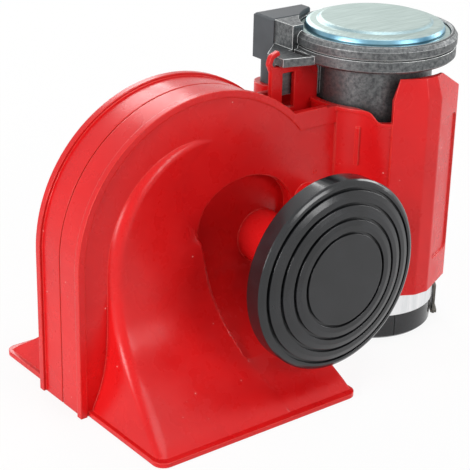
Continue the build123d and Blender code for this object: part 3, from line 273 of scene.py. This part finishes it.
# moulded and pressed dark materials; but for the foam's pores, the real grain is too fine to show and is
# drawn coarser
darkShared = {
    "ior": 1.5,
    "toneOver": (0.35, 0.65),
    "roughOver": (0.35, 0.65),
    "flowMm": 9.0,
    "edgeMm": 0.3,
    "reliefStrength": 0.5,
}
darkPlans = {
    # driver cap and motor end cap, from a polished mould: deep black with a clear gloss
    "grey_plastic": {
        "name": "moulded near-black ABS", "tones": ("#191a1c", "#212225"), "rough": (0.12, 0.22),
        "grainMm": 1.2, "reliefMm": 0.006,
    },
    # driver base, outlet elbow, pump rotor, brush plate: slate grey and satin, with a grain of glass fibre
    "black_plastic": {
        "name": "moulded glass-filled nylon", "tones": ("#33373b", "#43484c"), "rough": (0.42, 0.56),
        "grainMm": 0.8, "reliefMm": 0.02,
    },
    # field magnets: dull charcoal, gritty from the press
    "ferrite": {
        "name": "pressed ferrite", "tones": ("#232325", "#303033"), "rough": (0.6, 0.75),
        "grainMm": 0.5, "reliefMm": 0.02,
    },
    # brushes and pump vanes: black with the faint sheen of graphite
    "carbon": {
        "name": "pressed carbon", "tones": ("#161616", "#202020"), "rough": (0.55, 0.7),
        "grainMm": 0.4, "reliefMm": 0.02,
    },
    # seals and gasket: even, matt black
    "rubber": {
        "name": "moulded rubber", "tones": ("#121212", "#1a1a1a"), "rough": (0.6, 0.75),
        "grainMm": 0.6, "reliefMm": 0.02,
    },
    # intake filter: fully matt, with deep open pores
    "foam": {
        "name": "open-cell foam", "tones": ("#1d1d1f", "#2c2c2f"), "rough": (0.85, 0.95),
        "grainMm": 0.9, "reliefMm": 0.15,
    },
}


def mouldedDark(plan):
    # near-even colour, uneven gloss and a fine grain
    material, tree, shader = startMaterial(plan["name"], plan["tones"][1], {"IOR": plan["ior"]})
    point = addNode(tree, "ShaderNodeTexCoord").outputs["Object"]
    flow = addNode(tree, "ShaderNodeTexNoise", {"Scale": perMetre(plan["flowMm"]), "Detail": 5.0},
                   {"Vector": point}).outputs["Fac"]
    tone = addNode(tree, "ShaderNodeValToRGB", links={"Fac": flow},
                   stops=zip(plan["toneOver"], plan["tones"]))
    soft = addNode(tree, "ShaderNodeBevel", {"Radius": plan["edgeMm"] * mm}, samples=6).outputs["Normal"]
    grain = addNode(tree, "ShaderNodeTexNoise", {"Scale": perMetre(plan["grainMm"]), "Detail": 3.0},
                    {"Vector": point})
    dress(tree, shader, plan, tone.outputs["Color"], flow, grain.outputs["Fac"], soft)
    return material


# metals; but for the turns of the windings, the real grain is too fine to show and is drawn coarser.
# A stretch under 1 draws the pattern out upwards, and one over 1 flattens it into level lines.
metalShared = {
    "toneOver": (0.36, 0.66),
    "roughOver": (0.35, 0.65),
    "edgeWearAndHighlightReach": (0.992, 0.9, 0.9),  # as the reach of the red shells' painted edge highlight
    "edgeMm": 0.35,
    "stretch": 1.0,
    "reliefStrength": 0.6,
}
# on every metal the edges are drawn in a paler tone, which is partly wear and partly a painted highlight
metalPlans = {
    # pump head: the mottled grey skin of a casting, with pale edges that are partly trimmed metal and partly
    # a painted highlight
    "die_cast": {
        "name": "raw die-cast aluminium", "tones": ("#505254", "#797b7b"), "edgeWearAndHighlight": "#d9dbda",
        "rough": (0.6, 0.42), "blotchMm": 1.1, "grainMm": 0.4, "reliefMm": 0.04,
    },
    # motor can, screws, stud, washer and nut: pale and satin, with upright marks from drawing
    "steel_zinc": {
        "name": "zinc-plated drawn steel", "tones": ("#dddfe0", "#f0f0f1"), "edgeWearAndHighlight": "#f6f6f6",
        "rough": (0.42, 0.3), "blotchMm": 2.0, "grainMm": 0.5, "reliefMm": 0.01, "stretch": 0.12,
    },
    # diaphragm and brush springs: rolled, a smooth cool grey
    "spring_steel": {
        "name": "spring steel", "tones": ("#a2a4a8", "#babcc0"), "edgeWearAndHighlight": "#cfd0d3",
        "rough": (0.35, 0.25), "blotchMm": 2.0, "grainMm": 0.5, "reliefMm": 0.01,
    },
    # shaft and port plate: near-mirror, with the level lines of grinding
    "shaft_steel": {
        "name": "ground steel", "tones": ("#aeb0b4", "#c6c8cb"), "edgeWearAndHighlight": "#d6d8da",
        "rough": (0.25, 0.15), "blotchMm": 2.0, "grainMm": 0.3, "reliefMm": 0.005, "stretch": 6.0,
    },
    # armature core: punched sheets, whose edges show as level lines
    "core_steel": {
        "name": "stacked electrical steel", "tones": ("#6f7174", "#8e9094"), "edgeWearAndHighlight": "#a8aaad",
        "rough": (0.5, 0.35), "blotchMm": 2.0, "grainMm": 0.5, "reliefMm": 0.03, "stretch": 8.0,
    },
    # windings and commutator: warm orange-brown under a clear enamel, with a ropy relief
    "copper": {
        "name": "enamelled copper", "tones": ("#9c5530", "#c67c4c"), "edgeWearAndHighlight": "#d99568",
        "rough": (0.34, 0.22), "blotchMm": 0.9, "grainMm": 0.7, "reliefMm": 0.08,
    },
    # spade terminals: stamped and tinned, dulled to a brownish grey
    "tin_brass": {
        "name": "tinned brass, dulled", "tones": ("#4a4845", "#6d6a64"), "edgeWearAndHighlight": "#8d8a82",
        "rough": (0.5, 0.35), "blotchMm": 1.5, "grainMm": 0.4, "reliefMm": 0.01,
    },
    # bearings: brown-gold, matt with the pores of sintering
    "bronze": {
        "name": "sintered bronze", "tones": ("#8d6a3e", "#b08a58"), "edgeWearAndHighlight": "#c7a06d",
        "rough": (0.6, 0.45), "blotchMm": 0.8, "grainMm": 0.3, "reliefMm": 0.03,
    },
}


def workedMetal(plan):
    # blotched tone, whose paler parts are smoother, edges drawn paler, partly as wear and partly as a
    # painted highlight, and a grain along the work
    material, tree, shader = startMaterial(plan["name"], plan["tones"][1], {"Metallic": 1.0})
    point = addNode(tree, "ShaderNodeTexCoord").outputs["Object"]
    worked = addNode(tree, "ShaderNodeMapping", {"Scale": (1.0, 1.0, plan["stretch"])},
                     {"Vector": point}).outputs["Vector"]
    blotch = addNode(tree, "ShaderNodeTexNoise",
                     {"Scale": perMetre(plan["blotchMm"]), "Detail": 6.0, "Roughness": 0.65},
                     {"Vector": worked}).outputs["Fac"]
    tone = addNode(tree, "ShaderNodeValToRGB", links={"Fac": blotch},
                   stops=zip(plan["toneOver"], plan["tones"]))
    soft = addNode(tree, "ShaderNodeBevel", {"Radius": plan["edgeMm"] * mm}, samples=8).outputs["Normal"]
    # edges drawn paler: partly worn metal, partly a painted highlight
    wornAndHighlighted = addNode(tree, "ShaderNodeMixRGB", {"Color2": tint(plan["edgeWearAndHighlight"])},
                   {"Fac": edgeShare(tree, soft, plan["edgeWearAndHighlightReach"]), "Color1": tone.outputs["Color"]})
    grain = addNode(tree, "ShaderNodeTexNoise", {"Scale": perMetre(plan["grainMm"]), "Detail": 4.0},
                    {"Vector": worked})
    dress(tree, shader, plan, wornAndHighlighted.outputs["Color"], blotch, grain.outputs["Fac"], soft)
    return material


# pump lid: pressed steel with a blue zinc passivation, drawn pale and brushed where it faces up and bluer
# and smoother where it faces sideways; the real brush lines are too fine to show and are drawn wider
lidZinc = {
    "name": "blue-passivated zinc on pressed steel",
    "sideTones": ("#4f7d95", "#7fa8b8"),
    "sideOver": (0.35, 0.65),
    "cloudMm": 9.0,
    "topTones": ("#98a7a3", "#b4c2be"),
    "topOver": (0.3, 0.7),
    "topFrom": (0.5, 0.96),  # upward part of the normal: none of the top's finish below, all of it above
    "brushMm": (9.0, 0.35, 0.35),  # along the lines, across, across
    "brushTurn": radians(38),
    "roughOver": (0.0, 1.0),
    "rough": (0.34, 0.5),  # side, top
    "edgeMm": 0.6,
    "reliefMm": 0.01,
    "reliefStrength": 0.5,
}


def passivatedLid(plan):
    material, tree, shader = startMaterial(plan["name"], plan["topTones"][1], {"Metallic": 1.0})
    point = addNode(tree, "ShaderNodeTexCoord").outputs["Object"]
    lines = addNode(tree, "ShaderNodeMapping",
                    {"Scale": [1 / size for size in plan["brushMm"]], "Rotation": (0, 0, plan["brushTurn"])},
                    {"Vector": point})
    brush = addNode(tree, "ShaderNodeTexNoise", {"Scale": perMetre(1), "Detail": 3.0},
                    {"Vector": lines.outputs["Vector"]}).outputs["Fac"]
    cloud = addNode(tree, "ShaderNodeTexNoise", {"Scale": perMetre(plan["cloudMm"]), "Detail": 4.0},
                    {"Vector": point})
    top = addNode(tree, "ShaderNodeValToRGB", links={"Fac": brush},
                  stops=zip(plan["topOver"], plan["topTones"]))
    side = addNode(tree, "ShaderNodeValToRGB", links={"Fac": cloud.outputs["Fac"]},
                   stops=zip(plan["sideOver"], plan["sideTones"]))
    soft = addNode(tree, "ShaderNodeBevel", {"Radius": plan["edgeMm"] * mm}, samples=8).outputs["Normal"]
    facing = addNode(tree, "ShaderNodeSeparateXYZ", links={"Vector": soft})
    low, high = plan["topFrom"]
    level = addNode(tree, "ShaderNodeMapRange", {"From Min": low, "From Max": high},
                    {"Value": facing.outputs["Z"]}).outputs["Result"]
    mixed = addNode(tree, "ShaderNodeMixRGB",
                    links={"Fac": level, "Color1": side.outputs["Color"], "Color2": top.outputs["Color"]})
    dress(tree, shader, plan, mixed.outputs["Color"], level, brush, soft)
    return material


finishes = {"red_abs": mouldedRed(shellRed)}
for slot, plan in darkPlans.items():
    finishes[slot] = mouldedDark({**darkShared, **plan})
for slot, plan in metalPlans.items():
    finishes[slot] = workedMetal({**metalShared, **plan})
ownFinish = {"pump_lid": passivatedLid(lidZinc)}
slotOf = {entry["node"]: entry["material_slot"] for entry in frame["record"]["subparts"]}
for name, node in nodes.items():
    node.data.materials.clear()
    node.data.materials.append(ownFinish.get(name, finishes[slotOf[name]]))
print("finishes made")

# front shell with its recess round the driver's neck, sunk by cutting and lining the wall; in millimetres
recess = {
    "axisX": -24.45,  # the coil's axis, from which the other x values run
    "middle": (14.0, 38.0),
    "outline": [(3.2, 12), (1.6, 18), (0.0, 25), (-1.6, 33), (-2.8, 38), (-3.8, 43), (-4.1, 49),
                (-1.7, 55.4), (4.4, 60.0), (12, 61.8), (19, 61.2), (26, 58), (30.5, 52), (31.2, 44),
                (31.2, 34), (30, 24), (28, 12)],
    "outlineSteps": (6, 3),  # corners for each of its points: pocket, lining
    # height, depth below the wall's front
    "depths": [(12, 0), (15, 0.9), (18, 2.0), (22, 3.2), (26, 4.0), (31, 4.0), (37, 4.0), (44.7, 4.0),
               (63, 4.0)],
    "wall": 2.0,
    "skinGap": 0.3,  # from the wall's front back to the lining's
    "lap": 3,  # of the lining past the pocket's top and bottom
    "neck": (21.7, 40.0),
    "neckRadius": 8.3,
    "throatRadius": 5.0,
    "neckSides": 96,
    "wallFront": 6.2,  # fronts are measured forwards from the middle plane
    "mouthFront": 41.3,
    "flareHeight": 14.9,  # sets how fast the flare closes above the mouth
    "flareTop": 44.7,
    "flarePower": 1.4,
    "cutterFront": 31.0,  # the cutters run past all that they cut
    "cutterDeep": 40,
    "roomFront": 32.0,
    "roomLeft": -30,
    "roomWide": 90,
    "weld": 0.001,  # points this close are merged
    "sharpFrom": radians(28),
}


def flareFront(z, plan):
    # how far the front wall stands out from the middle plane at height z
    height, top, power = plan["flareHeight"], plan["flareTop"], plan["flarePower"]
    rest = exp(-((top / height) ** power))
    share = (exp(-((min(z, top) / height) ** power)) - rest) / (1 - rest)
    return plan["wallFront"] + (plan["mouthFront"] - plan["wallFront"]) * share


def rounded(points, steps):
    # the closed outline drawn as a smooth curve through its points
    curve = []
    for i, p1 in enumerate(points):
        p0, p2, p3 = points[i - 1], points[(i + 1) % len(points)], points[(i + 2) % len(points)]
        for step in range(steps):
            t = step / steps
            curve.append(tuple(
                0.5 * (2 * b + (c - a) * t + (2 * a - 5 * b + 4 * c - d) * t * t
                       + (3 * b - a - 3 * c + d) * t ** 3)
                for a, b, c, d in zip(p0, p1, p2, p3)))
    return curve


def activate(piece):
    bpy.ops.object.select_all(action="DESELECT")
    piece.select_set(True)
    bpy.context.view_layer.objects.active = piece


def prism(name, points, place, run):
    # a filled outline, its corners placed by place(a, b), drawn out along run; all in millimetres
    bpy.ops.mesh.primitive_circle_add(vertices=len(points), radius=1, fill_type="NGON")
    piece = bpy.context.object
    piece.name = name
    for vertex, (a, b) in zip(piece.data.vertices, points):
        vertex.co = Vector(place(a, b)) * mm
    bpy.ops.object.mode_set(mode="EDIT")
    bpy.ops.mesh.select_all(action="SELECT")
    bpy.ops.mesh.extrude_region_move(TRANSFORM_OT_translate={"value": Vector(run) * mm})
    bpy.ops.mesh.select_all(action="SELECT")
    bpy.ops.mesh.normals_make_consistent(inside=False)
    bpy.ops.object.mode_set(mode="OBJECT")
    return piece


def combine(piece, other, operation):
    # piece joined with, cut by or kept within other, which is then dropped
    activate(piece)
    change = piece.modifiers.new("combine", "BOOLEAN")
    change.operation, change.solver, change.object = operation, "EXACT", other
    bpy.ops.object.modifier_apply(modifier=change.name)
    bpy.data.objects.remove(other)


def makeCutters(plan):
    # the pocket that is cut away and the block that lines it, both left open round the neck
    midX, midZ = plan["middle"]
    neckX, neckZ = plan["neck"]
    pocketSteps, liningSteps = plan["outlineSteps"]
    back, across = (0, plan["cutterDeep"], 0), (plan["roomWide"], 0, 0)

    def onWall(x, z):
        return (plan["axisX"] + x, -plan["cutterFront"], z)

    def onSide(y, z):
        return (plan["axisX"] + plan["roomLeft"], y, z)

    def grown(x, z):
        share = 1 + plan["wall"] / hypot(x - midX, z - midZ)
        return (midX + (x - midX) * share, midZ + (z - midZ) * share)

    heights = [z for z, depth in plan["depths"]]
    lapped = [heights[0] - plan["lap"], *heights[1:-1], heights[-1] + plan["lap"]]
    floor = [depth - flareFront(z, plan) for z, depth in plan["depths"]]
    outside = [(-plan["roomFront"], heights[-1]), (-plan["roomFront"], heights[0])]
    lining = [(y + plan["wall"], z) for y, z in zip(floor, lapped)]
    skin = [(plan["skinGap"] - flareFront(z, plan), lap) for z, lap in zip(heights, lapped)]
    pocket = prism("recessPocket", rounded(plan["outline"], pocketSteps), onWall, back)
    combine(pocket, prism("recessRoom", [*zip(floor, heights), *outside], onSide, across), "INTERSECT")
    liningOutline = [grown(x, z) for x, z in rounded(plan["outline"], liningSteps)]
    block = prism("recessLiner", liningOutline, onWall, back)
    combine(block, prism("recessBand", lining + skin[::-1], onSide, across), "INTERSECT")
    for piece, radius in ((pocket, plan["neckRadius"]), (block, plan["throatRadius"])):
        bpy.ops.mesh.primitive_cylinder_add(
            vertices=plan["neckSides"], radius=radius * mm, depth=plan["roomWide"] * mm,
            location=((plan["axisX"] + neckX) * mm, 0, neckZ * mm), rotation=(pi / 2, 0, 0))
        combine(piece, bpy.context.object, "DIFFERENCE")
    return pocket, block


def makeFrontShell(node, plan):
    pocket, block = makeCutters(plan)
    shell = bpy.data.objects.new("hornFrontShell", node.data.copy())
    bpy.context.collection.objects.link(shell)
    shell.matrix_world = node.matrix_world
    activate(shell)
    bpy.ops.object.mode_set(mode="EDIT")
    bpy.ops.mesh.select_all(action="SELECT")
    bpy.ops.mesh.remove_doubles(threshold=plan["weld"] * mm)
    bpy.ops.object.mode_set(mode="OBJECT")
    bpy.ops.mesh.customdata_custom_splitnormals_clear()  # they would streak the cut faces
    combine(shell, block, "UNION")
    combine(shell, pocket, "DIFFERENCE")
    activate(shell)
    bpy.ops.object.shade_smooth_by_angle(angle=plan["sharpFrom"])
    level = shell.modifiers.new("level", "WEIGHTED_NORMAL")
    level.keep_sharp = True
    bpy.ops.object.modifier_apply(modifier=level.name)
    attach(shell, "horn")
    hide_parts("horn_front_shell")
    return shell


frontShell = makeFrontShell(nodes["horn_front_shell"], recess)
print("front shell made", len(frontShell.data.polygons), "faces")

# marks that the mould leaves on the front wall, a gate and two ejector pins; in millimetres
marks = {
    "gate": (6.6, -2.2, 40.1),  # x from the coil's axis, then the wall's y, and z
    "gateRadius": 2.1,
    "pinUpper": (39.8, -6.2, 57.7),
    "pinLower": (8.5, -2.2, 30.0),
    "pinRadius": 0.8,
    "sides": 40,
    "proud": 0.2,
    "bury": 0.8,
    "rim": 0.35,
    "sink": 0.28,  # of the middle, inside the rim
    "edge": 0.07,
    "edgeSteps": 2,
    "sharpFrom": radians(30),
}


def makeMark(name, place, radius, plan):
    # a low round boss whose middle is sunk inside a thin rim
    x, y, z = place
    bpy.ops.object.select_all(action="DESELECT")
    bpy.ops.mesh.primitive_cylinder_add(
        vertices=plan["sides"], radius=radius * mm, depth=(plan["proud"] + plan["bury"]) * mm,
        location=((recess["axisX"] + x) * mm, (y + (plan["bury"] - plan["proud"]) / 2) * mm, z * mm),
        rotation=(pi / 2, 0, 0))
    mark = bpy.context.object
    mark.name = name
    bpy.ops.object.transform_apply()
    bpy.ops.object.mode_set(mode="EDIT")
    bpy.ops.mesh.select_all(action="DESELECT")
    bpy.ops.object.mode_set(mode="OBJECT")
    min(mark.data.polygons, key=lambda face: face.center.y).select = True
    bpy.ops.object.mode_set(mode="EDIT")
    bpy.ops.mesh.select_mode(type="FACE")
    bpy.ops.mesh.inset(thickness=plan["rim"] * mm)
    bpy.ops.mesh.extrude_region_move(TRANSFORM_OT_translate={"value": (0, plan["sink"] * mm, 0)})
    bpy.ops.object.mode_set(mode="OBJECT")
    edge = mark.modifiers.new("edge", "BEVEL")
    edge.width, edge.segments, edge.limit_method = plan["edge"] * mm, plan["edgeSteps"], "ANGLE"
    bpy.ops.object.modifier_apply(modifier=edge.name)
    bpy.ops.object.shade_smooth_by_angle(angle=plan["sharpFrom"])
    mark.data.materials.append(finishes["red_abs"])
    return mark


def copyMark(mark, name, shift):
    # the same mark elsewhere, with its own mesh
    twin = bpy.data.objects.new(name, mark.data.copy())
    bpy.context.collection.objects.link(twin)
    twin.data.transform(Matrix.Translation(shift * mm))
    return twin


gateMark = makeMark("gateMark", marks["gate"], marks["gateRadius"], marks)
pinUpperMark = makeMark("pinUpperMark", marks["pinUpper"], marks["pinRadius"], marks)
pinLowerMark = copyMark(pinUpperMark, "pinLowerMark", Vector(marks["pinLower"]) - Vector(marks["pinUpper"]))
for mark in (gateMark, pinUpperMark, pinLowerMark):
    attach(mark, "horn")
print("mould marks made")
